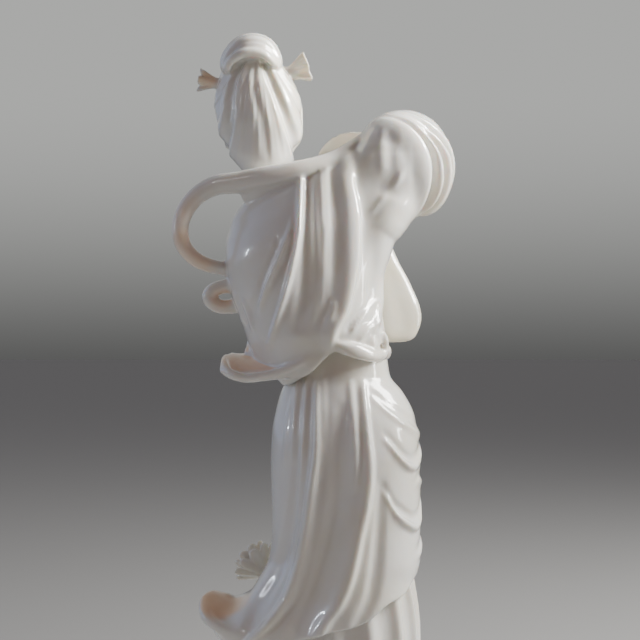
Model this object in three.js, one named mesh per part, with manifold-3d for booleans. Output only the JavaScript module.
// A standing Guanyin figurine of glazed white porcelain, cast in one piece with its low plinth of waves.
// The figure leans to its left, with its head bowed, its right elbow raised in a bunched sleeve and a scarf
// looped over its left arm. It faces -Y, its left side is +X, and the origin is the centre of the underside.
import * as THREE from 'three';
import Module from 'manifold-3d';

const wasm = await Module();
wasm.setup();

// Driving sizes, in millimetres
const FIGURE_HEIGHT = 338;
const PLINTH_HEIGHT = 22;
const PLINTH_LENGTH = 112;
const PLINTH_DEPTH = 88;
const PLINTH_WAVES = 15;
const WAVE_RELIEF = 2.4;
const HEM_THICKNESS = 2.6;
const HEM_RECESS = 7;
const CLOTH_THICKNESS = 3.2;
const SCARF_DIAMETER = 9;
const FLOWER_DIAMETER = 27;
const FLOWER_PETALS = 8;
const STEM_DIAMETER = 4.6;
const FINGER_DIAMETER = 3;
const SUNK_IN_PLINTH = 3;
const PLEAT_BREADTH = 1.5;
const SWAG_BREADTH = 2;

// The figure is drawn 338 units tall with its soles at 0, and each unit is a share of FIGURE_HEIGHT
const DRAWN_HEIGHT = 338;
const UNIT = FIGURE_HEIGHT / DRAWN_HEIGHT;
const place = ([x, y, z]) => [x * UNIT, y * UNIT, PLINTH_HEIGHT + z * UNIT];
const drawn = (millimetres) => millimetres / UNIT;

const { abs, cos, floor, hypot, max, min, PI, sign, sin, sqrt } = Math;
const clamp = (x, low, high) => min(high, max(low, x));
const smooth = (x) => clamp(x, 0, 1) ** 2 * (3 - 2 * clamp(x, 0, 1));
const bump = (x) => (abs(x) < 1 ? (1 - x * x) ** 2 : 0);
const radians = (degrees) => degrees * PI / 180;
const plus = (a, b, scale = 1) => a.map((value, i) => value + b[i] * scale);
const unit = (a) => a.map((value) => value / hypot(...a));
const cross = (a, b) => [a[1] * b[2] - a[2] * b[1], a[2] * b[0] - a[0] * b[2], a[0] * b[1] - a[1] * b[0]];
const dot = (a, b) => a[0] * b[0] + a[1] * b[1] + a[2] * b[2];

// Values at a key on a smooth curve through rows of [key, ...values], which never overshoots a row
function along(rows, key) {
  const last = rows.length - 1;
  const at = clamp(key, rows[0][0], rows[last][0]);
  let i = 0;
  while (i < last - 1 && at > rows[i + 1][0]) i += 1;
  const span = rows[i + 1][0] - rows[i][0];
  const t = (at - rows[i][0]) / span;
  return rows[i].slice(1).map((_, column) => {
    const value = (row) => rows[row][column + 1];
    const rise = (row) => (value(row + 1) - value(row)) / (rows[row + 1][0] - rows[row][0]);
    const slope = (row) => {
      if (row === 0) return rise(0);
      if (row === last) return rise(last - 1);
      const [before, after] = [rise(row - 1), rise(row)];
      return before * after > 0 ? 2 * before * after / (before + after) : 0;
    };
    const [a, b] = [value(i), value(i + 1)];
    const [m, n] = [slope(i) * span, slope(i + 1) * span];
    return a + t * (m + t * (3 * (b - a) - 2 * m - n + t * (2 * (a - b) + m + n)));
  });
}

// Values at a share of the way along evenly counted stations, on a curve through them all
function glide(stations, share) {
  const last = stations.length - 1;
  const at = clamp(share, 0, 1) * last;
  const i = min(floor(at), last - 1);
  const t = at - i;
  const [a, b, c, d] = [i - 1, i, i + 1, i + 2].map((j) => stations[clamp(j, 0, last)]);
  return b.map((_, n) => b[n] + 0.5 * t * (c[n] - a[n]
    + t * (2 * a[n] - 5 * b[n] + 4 * c[n] - d[n] + t * (3 * b[n] - a[n] - 3 * c[n] + d[n]))));
}

// A closed solid through rings of equally many points, with a point closing each end
function skin(first, rings, final) {
  const sides = rings[0].length;
  const points = [first, ...rings.flat(), final];
  const faces = [];
  for (let side = 0; side < sides; side += 1) {
    const next = (side + 1) % sides;
    faces.push([0, 1 + next, 1 + side]);
    for (let ring = 0; ring < rings.length - 1; ring += 1) {
      const here = 1 + ring * sides;
      const above = here + sides;
      faces.push([here + side, here + next, above + next], [here + side, above + next, above + side]);
    }
    const top = 1 + (rings.length - 1) * sides;
    faces.push([points.length - 1, top + side, top + next]);
  }
  const make = (list) => new wasm.Manifold(new wasm.Mesh({
    numProp: 3,
    vertProperties: new Float32Array(points.flat()),
    triVerts: new Uint32Array(list.flat()),
  }));
  const made = make(faces);
  return made.volume() > 0 ? made : make(faces.map(([a, b, c]) => [a, c, b]));
}

// A point of a form of sections: rows are [key, x, y, left, right, back, front, roll], keyed by height
function sectionPoint(form, angle, key, inset = 0, lift = 0) {
  const [x, y, left, right, back, front, roll = 0] = along(form.rows, key);
  const [c, s] = [cos(angle), sin(angle)];
  const half = [c > 0 ? left : right, s > 0 ? back : front];
  const tilt = radians(roll);
  const at = (side, depth) => [x + side * cos(tilt), y + depth, key + lift - side * sin(tilt)];
  const out = unit([c / half[0], s / half[1]]);
  const plain = at(half[0] * c, half[1] * s);
  const push = (form.relief ? form.relief(plain, angle) : 0) - inset;
  return at(half[0] * c + push * out[0], half[1] * s + push * out[1]);
}

// A solid of sections from low(angle) to high(angle), open below in a shallow recess where it has a hem.
// Backing crowds its sides toward the back, where the pleats are closest.
function sectioned(form) {
  const { sides, levels, low, high, hem = 0, recess = 0, backing = 0, place: put = place } = form;
  const ring = (share, inset = 0, lift = 0) => Array.from({ length: sides }, (_, side) => {
    const even = 2 * PI * side / sides;
    const angle = even + backing * cos(even);
    const key = low(angle) + (high(angle) - low(angle)) * share;
    return put(sectionPoint(form, angle, key, inset, lift));
  });
  const middle = (list) => list.reduce((sum, p) => plus(sum, p, 1 / list.length), [0, 0, 0]);
  const rings = Array.from({ length: levels + 1 }, (_, level) => ring(level / levels));
  if (hem) rings.unshift(ring(0, hem + recess / 3, recess), ring(0, hem));
  return skin(middle(rings[0]), rings, middle(rings.at(-1)));
}

// A solid swept along stations of [x, y, z, half width, half thickness], its width lying along `across`
function swept({ stations, across, sides = 8, levels = 8, round = 0.12, cup = 0, relief }) {
  const tip = round * 0.3;
  const shares = [tip];
  for (let level = 0; level <= levels; level += 1) shares.push(round + (1 - 2 * round) * level / levels);
  shares.push(1 - tip);
  const spot = (share) => glide(stations, share).slice(0, 3);
  const rings = shares.map((share) => {
    const [x, y, z, width, thickness] = glide(stations, share);
    const end = min(1, share / round, (1 - share) / round);
    const shrink = sqrt(1 - (1 - end) ** 2);
    const heading = unit(plus(spot(share + 0.01), spot(share - 0.01), -1));
    const wanted = typeof across === 'function' ? across(share) : across;
    const wide = unit(plus(wanted, heading, -dot(wanted, heading)));
    const thick = cross(heading, wide);
    return Array.from({ length: sides }, (_, side) => {
      const angle = 2 * PI * side / sides;
      const push = relief ? relief(angle, share) : 0;
      const sideways = (width * shrink + push) * cos(angle);
      const outward = (thickness * shrink + push) * sin(angle) + cup * cos(angle) ** 2 * shrink;
      return place(plus(plus([x, y, z], wide, sideways), thick, outward));
    });
  });
  return skin(place(spot(0)), rings, place(spot(1)));
}

// Relief of folds whose crests run down the cloth: each is rows of [z, x, half width, height]
const creases = (folds) => ([x, , z]) => folds.reduce((sum, rows) => {
  const [crest, width, height] = along(rows, z);
  const fade = smooth((z - rows[0][0] + 4) / 4) * smooth((rows.at(-1)[0] + 4 - z) / 4);
  return sum + height * fade * bump((x - crest) / (width * PLEAT_BREADTH));
}, 0);

// Relief of folds that hang across the cloth: each is rows of [angle in degrees, z, half width, height]
const swags = (folds) => ([, , z], angle) => folds.reduce((sum, rows) => {
  const degrees = angle * 180 / PI;
  if (degrees < rows[0][0] || degrees > rows.at(-1)[0]) return sum;
  const [crest, width, height] = along(rows, degrees);
  return sum + height * bump((z - crest) / (width * SWAG_BREADTH));
}, 0);

// The plinth: an oval of two tiers of wave crests, its top swelling a little under the feet
function plinth() {
  const tier = (share, angle, phase) => {
    const crest = abs(cos((angle * PLINTH_WAVES + phase * PI) / 2));
    return WAVE_RELIEF * crest * bump((share - 0.3) / 0.9);
  };
  const form = {
    rows: [
      [0, 0, 0, PLINTH_LENGTH / 2 - 3, PLINTH_LENGTH / 2 - 3, PLINTH_DEPTH / 2 - 3, PLINTH_DEPTH / 2 - 3],
      [PLINTH_HEIGHT * 0.15, 0, 0, PLINTH_LENGTH / 2, PLINTH_LENGTH / 2, PLINTH_DEPTH / 2, PLINTH_DEPTH / 2],
      [PLINTH_HEIGHT * 0.8, 0, 0, PLINTH_LENGTH / 2 - 4, PLINTH_LENGTH / 2 - 4,
        PLINTH_DEPTH / 2 - 4, PLINTH_DEPTH / 2 - 4],
      [PLINTH_HEIGHT, 0, 0, PLINTH_LENGTH / 2 - 8, PLINTH_LENGTH / 2 - 8, PLINTH_DEPTH / 2 - 8, PLINTH_DEPTH / 2 - 8],
    ],
    sides: PLINTH_WAVES * 4,
    levels: 5,
    low: () => 0,
    high: () => PLINTH_HEIGHT,
    place: (point) => point,
    relief: ([, , z], angle) => {
      const share = z / PLINTH_HEIGHT;
      if (share < 0.12) return 0;
      return share < 0.5 ? tier((share - 0.12) / 0.38, angle, 0) : tier((share - 0.5) / 0.5, angle, 1);
    },
  };
  return sectioned(form);
}

// The under-robe: upright flutes from inside the outer robe down to the plinth
function underRobe() {
  return sectioned({
    rows: [
      [-drawn(SUNK_IN_PLINTH), -5, 0, 34, 38, 31, 30],
      [6, -5, 0, 31, 36, 29, 28],
      [30, -5, 0, 27.5, 33, 26, 25],
      [60, -5, 0, 27, 31, 25.5, 24.5],
      [90, -5, 0, 27, 30, 25.5, 24.5],
      [115, -5, 0, 25, 27, 24, 23],
    ],
    sides: 40,
    levels: 4,
    low: () => -drawn(SUNK_IN_PLINTH),
    high: () => 115,
    relief: ([, , z], angle) => (1.1 + 0.8 * smooth((40 - z) / 40)) * cos(13 * angle + 0.8 * sin(2 * angle) + z / 40),
  });
}

// The outer robe: falls from the waist, hangs in swags on the right and front, and sweeps out to the left
const ROBE_CREASES = [
  [[84, 34, 3.4, 1.2], [94, 23, 3.6, 2.2], [105, 17, 3.6, 2.2], [122, 12, 3.4, 2], [143, 8.5, 3, 1.8],
    [168, 6.7, 2.6, 1.6], [189, 6.7, 2, 1]],
  [[84, 6, 3.2, 2.2], [91, 2.5, 3.2, 2.4], [98, -3, 3, 2.4], [109, -7, 3, 2.2], [126, -11, 3, 2],
    [143, -14.3, 2.8, 1.8], [155, -15.5, 2.6, 1.6], [172, -14, 2.4, 1.2], [189, -12.2, 2.4, 1.4]],
  [[150, 13.5, 2.6, 0.6], [172, 12, 2.4, 1], [191, 11, 2, 1]],
  [[96, 26, 4, -1], [110, 20, 4, -1.2], [126, 17, 4, -1], [150, 14, 4, -0.6]],
];
const ROBE_SWAGS = [
  [[112, 186, 2.5, 0.4], [119, 183.4, 3, 1.5], [131, 178, 3.2, 2], [146, 174, 3.4, 2.2], [165, 171, 3.4, 2.2],
    [185, 170.5, 3.4, 2], [215, 175, 3, 1], [235, 182, 2, 0]],
  [[118, 169, 2, 0], [126, 165, 2.6, 1.6], [133, 160.5, 3, 2.4], [143, 157, 3.2, 2.6], [150, 156.4, 3.2, 2.6],
    [158, 157.6, 3.2, 2.4], [172, 162, 3, 1.8], [190, 168, 2.5, 0]],
  [[136, 145, 2, 0], [142, 146.5, 2.5, 1.2], [166, 150.8, 3, 2], [190, 150, 3, 2], [215, 146, 3, 1.6],
    [240, 140, 2.5, 0]],
  [[117, 147, 2, 0], [124, 142, 2.6, 1.6], [129, 136.6, 3, 2.4], [141, 132.8, 3.3, 2.8], [151, 131.3, 3.4, 2.8],
    [166, 134.3, 3.2, 2.4], [176, 140.3, 2.8, 1.4], [185, 146, 2, 0]],
  [[150, 112, 2, 0], [165, 118, 3, 1.6], [178, 124, 3.4, 2.2], [195, 128, 3, 1.8], [215, 128, 2.5, 0]],
  ...[172, 153, 135, 118].map((z, row) => [[198 - row * 4, z + 24, 2, 0], [222, z + 11, 3, 1.8],
    [250, z + 2, 3.4, 2.6], [272, z, 3.6, 2.8], [296, z + 4, 3.4, 2.6], [325, z + 14, 3, 1.8],
    [352, z + 24, 2, 0.4]]),
];
function outerRobe() {
  const down = creases(ROBE_CREASES);
  const across = swags(ROBE_SWAGS);
  return sectioned({
    rows: [
      [76, -5, 0, 48, 31, 28, 27],
      [84.7, -5, 0, 53, 31, 28, 27],
      [88, -5, 0, 55, 31, 28, 27],
      [92, -5, 0, 55, 31, 28, 27],
      [96, -5, 0, 52, 31, 28, 27],
      [100, -5, 0, 47, 30, 28, 27],
      [104, -5, 0, 42, 29.5, 28, 27],
      [109.5, -5, 0, 38, 29.4, 28, 26.5],
      [119, -5, 0, 32.3, 31.2, 28, 26],
      [131, -5, 0, 31, 31.2, 28, 26],
      [160, -5, 0, 31.6, 31.2, 28, 25],
      [172.5, -5, 0, 31, 30.2, 27, 24],
      [180, -4.6, 0, 29.2, 28.6, 25.5, 23],
      [188.5, -4, 0, 26.2, 24.6, 22, 20],
      [195, -3.5, 0, 22.6, 20, 19, 18],
      [201, -3, 0, 20, 19, 17.5, 17],
    ],
    sides: 44,
    levels: 14,
    backing: 0.3,
    low: (angle) => 96.5 - 12.5 * cos(angle) - 6.5 * sin(angle),
    high: () => 200,
    hem: drawn(HEM_THICKNESS),
    recess: drawn(HEM_RECESS),
    relief: (point, angle) => (point[1] > 0 ? down(point) : 0) + across(point, angle),
  });
}

// The scooped end of the robe's train, which curls up at the left
function trainScoop() {
  return swept({
    stations: [[20, 0, 116, 13, 3], [28, 1, 107, 14, 2], [37, 2, 101, 14, 1.6], [46, 2, 99.5, 12.5, 1.6],
      [51.5, 2, 101.5, 9, 1.5], [54, 1, 104, 5, 1.3]],
    across: [0, cos(radians(34)), -sin(radians(34))],
    sides: 14,
    levels: 7,
    cup: -2.5,
    round: 0.1,
  });
}

// The cape over the torso: long pleats fall from the nape, and its front edge is the tall crease on the right
const CAPE_CREASES = [
  [[209, -1.7, 2.6, 1.4], [215, -4.6, 3, 2.2], [227, -8.8, 3.2, 2.6], [245, -11.3, 3.2, 2.8],
    [262, -11.3, 3.2, 2.6], [276, -8.8, 3, 2.2], [288, -6.3, 2.6, 1.6]],
  [[224, 4.6, 2.2, 0.4], [232, 3.9, 2.4, 1.2], [249, 2.7, 2.4, 1.4], [262, 3.4, 2.4, 1.4], [279, 5, 2.2, 1]],
  [[212, 26.2, 2.4, 1], [218, 23.5, 2.6, 1.8], [233, 18.8, 2.8, 2.2], [243, 16.8, 2.8, 2.2],
    [262, 14.1, 2.6, 2], [271, 14.8, 2.2, 1.2]],
  [[222, 33, 2.2, 1], [234, 27, 2.6, 1.8], [243, 23.5, 2.6, 1.8], [251, 20.2, 2.4, 1.4], [258, 17, 2, 0.6]],
  [[236, 9, 3, 0.4], [252, 8.5, 3.2, 1], [276, 9.5, 3, 1]],
];
const CAPE = {
  rows: [
    [188, -0.5, 0, 20, 21, 19.5, 17, 0],
    [192, 0.5, 0, 22, 22.5, 21, 18, 0],
    [198, 3, 0, 25.5, 25.5, 22, 19, 2],
    [205, 5, 0, 29, 27.5, 22.5, 19.5, 3],
    [213, 7.5, 1, 29.2, 28.7, 23.5, 20, 4.5],
    [222, 10, 1, 29, 30, 24, 20.5, 6],
    [236, 12.2, 1, 31.5, 32.5, 25, 20.5, 11],
    [251, 13, 1, 33.6, 33.6, 25, 20, 16],
    [263, 12.6, 0.5, 33.6, 33.6, 22.5, 18, 21],
    [272, 12.6, 0, 31.5, 32, 19, 16, 25],
    [278, 12.6, 0, 26.5, 28, 14.5, 13, 25],
    [282, 12.8, 0, 16, 18, 9, 9, 25],
  ],
  sides: 38,
  levels: 9,
  backing: 0.4,
  low: (angle) => 195.5 - 5.5 * cos(angle) - 2 * sin(angle),
  high: () => 282,
  hem: drawn(HEM_THICKNESS),
  recess: drawn(HEM_RECESS * 0.6),
  relief: (point) => (point[1] > 0 ? creases(CAPE_CREASES)(point) : 0),
};

// The bunched sleeve on the raised right elbow, which turns forward and inward to the wrist
function raisedSleeve() {
  return swept({
    stations: [[-3, 2, 274, 13, 13], [-15, 2, 282, 17.5, 15], [-26.5, 0.5, 286, 21, 16], [-34, -5, 284.5, 22, 15.5],
      [-36.5, -15, 281.5, 21, 14], [-32, -26, 277, 17, 12], [-21.5, -34, 273, 12.5, 9], [-9, -38, 271, 9, 6.5]],
    across: [0, 0, 1],
    sides: 16,
    levels: 14,
    round: 0.08,
    relief: (angle, share) => 1.3 * sin(share * 24 + 0.8 * cos(angle)) * smooth((share - 0.3) / 0.15)
      * (0.45 + 0.55 * abs(cos(angle))),
  });
}

// The long mouth of the right sleeve, which hangs in front of the body from wrist to hip
function hangingSleeve() {
  return swept({
    stations: [[-14, -33, 272, 10, 7], [-16, -34, 256, 8.5, 5], [-18.5, -33, 243, 10, 4], [-22, -31, 230, 12.5, 3.6],
      [-24.5, -29, 219, 13.5, 3.2], [-25, -27, 211, 9, 2.6]],
    across: [1, 0.15, 0],
    sides: 10,
    levels: 6,
    round: 0.09,
    relief: (angle, share) => 0.7 * cos(5 * angle) * smooth(share * 3),
  });
}

// The rolled edge of the cape that stands up behind the right forearm
function standingCuff() {
  return swept({
    stations: [[5, -28, 284, 3, 1.4], [1, -28, 289, 5, 1.5], [-4.5, -26, 291.5, 6, 1.6], [-10.5, -22, 292, 6.5, 1.8],
      [-17, -16, 291, 7, 2.5], [-24, -10, 289, 7, 3]],
    across: [0, 0.1, 1],
    sides: 8,
    levels: 6,
    round: 0.1,
  });
}

// The left sleeve: upper arm under the cape, forearm brought forward, and its mouth blown out behind
function leftSleeve() {
  const forearm = swept({
    stations: [[29, 0, 258, 11, 11], [34.5, -2, 248, 10.5, 10.5], [34.5, -12, 242, 10.5, 10], [28, -23, 240, 9.5, 9],
      [18, -31, 240, 7.5, 7]],
    across: [0, 0, 1],
    sides: 12,
    levels: 7,
    relief: (angle, share) => 0.6 * sin(share * 22 + cos(angle)),
  });
  const fall = swept({
    stations: [[26, -22, 240, 9, 5], [25, -20, 228, 8, 4], [26, -14, 215, 8, 4], [28, -6, 204, 9, 4], [30, 2, 199, 8, 4]],
    across: [1, 0.4, 0],
    sides: 10,
    levels: 7,
    round: 0.1,
  });
  const tongue = swept({
    stations: [[12, 6, 197, 10, 4], [22, 5, 196.5, 13, 2.6], [31, 4.5, 196.8, 14.5, drawn(CLOTH_THICKNESS) / 2],
      [40, 4, 199, 13.5, drawn(CLOTH_THICKNESS) / 2], [47, 3.5, 201.5, 9, drawn(CLOTH_THICKNESS) / 2]],
    across: [0, cos(radians(24)), -sin(radians(24))],
    sides: 12,
    levels: 7,
    cup: -1.2,
    round: 0.05,
  });
  return [forearm, fall, tongue];
}

// The scarf: a roll across the shoulders, a wide open loop at the left, and a small loop below it
const SCARF_PATH = [[-17, 3, 297.5, 0.42], [-8, 8, 291, 0.5], [-0.5, 11, 285.5, 0.62], [8, 13.5, 281.7, 0.76],
  [17.6, 14, 279, 0.9], [29, 12.5, 277, 1], [39.5, 9.5, 275.4, 1.02], [49.6, 7, 274.2, 0.94], [58.4, 6, 268.7, 0.86],
  [63.6, 6, 259.5, 0.8], [63, 6, 250.2, 0.76], [58, 5, 243.9, 0.72], [51.2, 3, 240.8, 0.68], [42, 0, 239.3, 0.64]];
function scarf() {
  const radius = drawn(SCARF_DIAMETER) / 2;
  const roll = swept({
    stations: SCARF_PATH.map(([x, y, z, share]) => [x, y, z, radius * share, radius * share]),
    across: [0, 1, 0],
    sides: 7,
    levels: 26,
    round: 0.02,
  });
  const ring = [[39, 1, 234], [46, 1.5, 233], [51.7, 2, 229.6], [52.5, 2, 225.4], [49.6, 2, 222.6], [44.5, 1.5, 222.6],
    [37, 1, 225]];
  const loop = swept({
    stations: ring.map(([x, y, z]) => [x, y, z, radius * 0.7, radius * 0.56]),
    across: [0, 1, 0],
    sides: 8,
    levels: 12,
    round: 0.05,
  });
  return [roll, loop];
}

// The sash pulled round to a knot at the right hip, with two ribbons hanging at the front
function sash() {
  const roll = swept({
    stations: [[3, 19, 209.5, 2.4, 2.4], [-6, 19, 206.5, 2.8, 2.8], [-14, 14, 204, 3, 3], [-20, 5, 204, 3.2, 3.2],
      [-22, -4, 206, 3.4, 3.2], [-16, -15, 207, 3.2, 3], [-4, -20, 206, 3.2, 2.8], [8, -21, 205, 3, 2.8],
      [20, -15, 203, 2.6, 2.4]],
    across: [0, 0, 1],
    sides: 7,
    levels: 14,
    round: 0.04,
  });
  const bow = swept({
    stations: [[-18, 3, 207, 2, 2], [-21.5, 3.5, 212, 2.2, 2.2], [-23, 2, 209, 2.2, 2], [-22.5, 1, 204, 2, 2],
      [-19, 1, 202, 2, 2]],
    across: [0, 1, 0],
    sides: 7,
    levels: 8,
    round: 0.08,
  });
  const ribbon = (x, end, lean) => swept({
    stations: [[x, -18, 207, 3, 2], [x + lean, -24, 196, 4, 1.6], [x + 2 * lean, -28, 176, 4.4, 1.5],
      [x + 1.5 * lean, -29.5, 150, 4.6, 1.5], [x + 3 * lean, -29.5, end, 5.6, 1.5]],
    across: [1, 0, 0],
    sides: 6,
    levels: 7,
    round: 0.04,
  });
  return [roll, bow, ribbon(-3, 118, -1), ribbon(2, 100, 1.2)];
}

// The head, bowed a little: neck, face, and hair drawn up in pleats to a topknot, with ribbons at each side
function head() {
  const neck = swept({
    stations: [[22, 0, 268, 10.5, 10.5], [26, -3, 281, 9.6, 9.6], [29, -6, 296, 9.6, 9.6]],
    across: [1, 0, 0],
    sides: 14,
    levels: 3,
  });
  const hair = sectioned({
    rows: [
      [281, 28.5, 0, 7, 7, 4, 6],
      [284, 28.7, -1, 12.4, 11, 8, 8],
      [288, 29, -2.5, 15.4, 13.2, 12, 9],
      [294.3, 30, -4, 17.8, 16.6, 15.6, 11],
      [301, 31.2, -4.5, 18.9, 18.6, 17.6, 13],
      [308, 31.8, -5, 19, 18.8, 18.4, 15],
      [314, 32, -5, 18.6, 17.8, 18.2, 16],
      [320, 32.4, -5, 16.8, 14.6, 16.4, 15.4],
      [326, 33, -4.5, 13, 11, 13, 13],
      [330, 33.5, -4, 8.6, 7.6, 8.6, 9],
      [332, 34, -4, 4, 4, 4, 4],
    ],
    sides: 24,
    levels: 8,
    low: () => 281,
    high: () => 332,
    relief: ([, y, z], angle) => (y > -12 ? 0.9 * cos(11 * angle + 0.6 * sin(3 * angle)) * smooth((z - 284) / 10) : 0),
  });
  const face = sectioned({
    rows: [
      [286.5, 32, -17, 3, 3, 6, 3],
      [289, 32, -16.5, 7, 7, 8, 5.5],
      [294, 32, -16, 10.6, 10.6, 10, 7],
      [301, 32, -15, 12.6, 12.6, 10, 7.6],
      [308, 32, -14, 13, 13, 10, 7.8],
      [315, 32, -12, 12, 12, 9, 7],
      [321, 32, -10, 8, 8, 8, 5],
    ],
    sides: 14,
    levels: 6,
    low: () => 286.5,
    high: () => 321,
  });
  const nose = swept({
    stations: [[32, -19.5, 306, 1.2, 1], [32, -22, 302, 1.6, 1.4], [32, -23.6, 298.6, 2.3, 1.8], [32, -21, 297.4, 1.6, 1.2]],
    across: [1, 0, 0],
    sides: 6,
    levels: 3,
  });
  const topknot = swept({
    stations: [[46.2, 0, 321.6, 8, 3], [44.5, 1, 326.7, 9.6, 5], [39.5, 1.5, 330.2, 11, 6.4], [34.4, 2, 331.3, 11.4, 6.7],
      [29.4, 1.5, 330.4, 11, 6.2], [25.2, 1, 327.2, 9.4, 4.6], [22.7, 0, 323.6, 7, 2.8]],
    across: [0, 1, 0],
    sides: 12,
    levels: 7,
    relief: (angle) => 0.5 * cos(6 * angle),
  });
  const ear = (side) => swept({
    stations: [[32 + side * 13.4, -11, 309, 2.4, 1.2], [32 + side * 14.4, -10.5, 304, 2.8, 1.6],
      [32 + side * 13.6, -11, 298, 1.9, 1.6], [32 + side * 12.6, -11.5, 293, 1.7, 1.4]],
    across: [0, 1, 0.2],
    sides: 7,
    levels: 4,
  });
  const ribbon = (from, to) => {
    const through = [0, 0.3, 0.6, 0.85, 1].map((share, i) => {
      const spread = [2.2, 2.6, 4, 5.2, 5.8][i];
      return [...from.map((value, axis) => value + (to[axis] - value) * share), spread, spread * 0.8];
    });
    return swept({
      stations: through,
      across: [0, 0.3, 1],
      sides: 10,
      levels: 4,
      round: 0.06,
      relief: (angle, share) => 0.9 * cos(4 * angle) * smooth(share * 1.4 - 0.4),
    });
  };
  return [neck, hair, face, nose, topknot, ear(1), ear(-1), ribbon([20, -3, 322.5], [11, -3, 325.5]),
    ribbon([47, -2, 318.5], [57, -2, 320])];
}

// A hand reaching along `reach`, its four fingers side by side along `spread` as ridges, and its thumb apart
function hand({ wrist, reach, spread, curl, length = 17 }) {
  const radius = drawn(FINGER_DIAMETER) / 2;
  const at = (forward, sideways, bent) => plus(plus(plus(wrist, unit(reach), forward), unit(spread), sideways),
    unit(curl), bent);
  const palm = swept({
    stations: [[...at(-5, 0, 0), 3, 2.6], [...at(0, 0, 0), 3.2, 2.4], [...at(length * 0.35, 0, 0), radius * 3.2, 2.3],
      [...at(length * 0.65, 0, 0.6), radius * 3.4, radius * 1.1], [...at(length, 0, 2.4), radius * 2.2, radius * 0.8]],
    across: spread,
    sides: 10,
    levels: 6,
    round: 0.07,
  });
  const thumb = swept({
    stations: [[...at(length * 0.1, radius * 1.6, 0), radius, radius],
      [...at(length * 0.35, radius * 3.2, 1.2), radius, radius],
      [...at(length * 0.6, radius * 3, 2.4), radius * 0.75, radius * 0.75]],
    across: curl,
    sides: 5,
    levels: 2,
  });
  return [palm, thumb];
}

// The crossed edges of the robe, which follow the breast from the neck down to the sash
function collar() {
  const edge = (turns) => swept({
    stations: turns.map(([degrees, z]) => [...sectionPoint(CAPE, radians(degrees), z, 0.4), 3.4, 1.9]),
    across: [0.95, 0, 0.3],
    sides: 6,
    levels: 5,
    round: 0.06,
  });
  return [edge([[330, 277], [312, 268], [292, 252], [276, 234], [264, 214]]),
    edge([[222, 278], [240, 268], [256, 252], [270, 234], [282, 214]])];
}

// A lotus on a stem that rises beside the robe at the front left
function lotus() {
  const radius = drawn(FLOWER_DIAMETER) / 2;
  const heart = [29.5, -25, 111.5];
  const axis = unit([0.66, -0.12, 0.74]);
  const right = unit(cross(axis, [0, 1, 0]));
  const up = cross(axis, right);
  const petals = [];
  for (const [count, opening, reach, turn] of [[FLOWER_PETALS, 62, 1, 0], [FLOWER_PETALS / 2, 30, 0.9, 0.5]]) {
    for (let petal = 0; petal < count; petal += 1) {
      const around = 2 * PI * (petal + turn) / count;
      const away = plus(right.map((v) => v * cos(around)), up, sin(around));
      const side = cross(axis, away);
      const stations = [[0.2, 0.16], [0.45, 0.25], [0.75, 0.24], [1, 0.06]].map(([share, width], i) => {
        const lean = radians(opening - 16 * share);
        const along3 = plus(away.map((v) => v * sin(lean)), axis, cos(lean));
        return [...plus(heart, along3, radius * reach * share), radius * width, radius * [0.12, 0.09, 0.075, 0.06][i]];
      });
      petals.push(swept({ stations, across: side, sides: 4, levels: 2, round: 0.1 }));
    }
  }
  const half = drawn(STEM_DIAMETER) / 2;
  const core = swept({
    stations: [[...plus(heart, axis, -3), half, half], [...plus(heart, axis, 2), half * 1.9, half * 1.9],
      [...plus(heart, axis, 6), half * 1.2, half * 1.2]],
    across: right,
    sides: 8,
    levels: 3,
  });
  const foot = -drawn(SUNK_IN_PLINTH);
  const stem = swept({
    stations: [[29, -24, foot, half * 1.5, half * 1.5], [26, -23, 14, half, half], [21, -23, 45, half, half],
      [20, -25.5, 78, half, half], [24, -26.5, 99, half, half], [29, -25, 110.5, half, half]],
    across: [1, 0, 0],
    sides: 6,
    levels: 9,
    round: 0.03,
  });
  return [...petals, core, stem];
}

// Everything is luted together before firing, so the figure and its plinth are one solid
const pieces = [
  plinth(),
  underRobe(),
  outerRobe(),
  trainScoop(),
  sectioned(CAPE),
  raisedSleeve(),
  hangingSleeve(),
  standingCuff(),
  ...leftSleeve(),
  ...scarf(),
  ...sash(),
  ...collar(),
  ...head(),
  ...hand({ wrist: [-7, -39, 270], reach: [0.9, -0.25, 0.35], spread: [0.2, 0.2, 0.95], curl: [0.3, -0.9, 0.2] }),
  ...hand({ wrist: [21, -31, 240], reach: [-0.9, -0.45, 0.1], spread: [-0.4, 0.9, 0.1], curl: [0, -0.1, 1] }),
  ...lotus(),
];
const joined = pieces.reduce((whole, piece) => whole.add(piece));
const largest = (shape) => shape.decompose().reduce((most, body) => (body.volume() > most.volume() ? body : most));
const solid = largest(largest(joined).simplify(0.2));

const { vertProperties, triVerts } = solid.getMesh();
const geometry = new THREE.BufferGeometry();
geometry.setAttribute('position', new THREE.BufferAttribute(vertProperties, 3));
geometry.setIndex(new THREE.BufferAttribute(triVerts, 1));
geometry.computeVertexNormals();

const porcelain = new THREE.MeshStandardMaterial({ color: 0xece7dc, roughness: 0.12, metalness: 0 });
const figurine = new THREE.Mesh(geometry, porcelain);
figurine.name = 'guanyin_figurine';

const group = new THREE.Group();
group.add(figurine);
export default group;
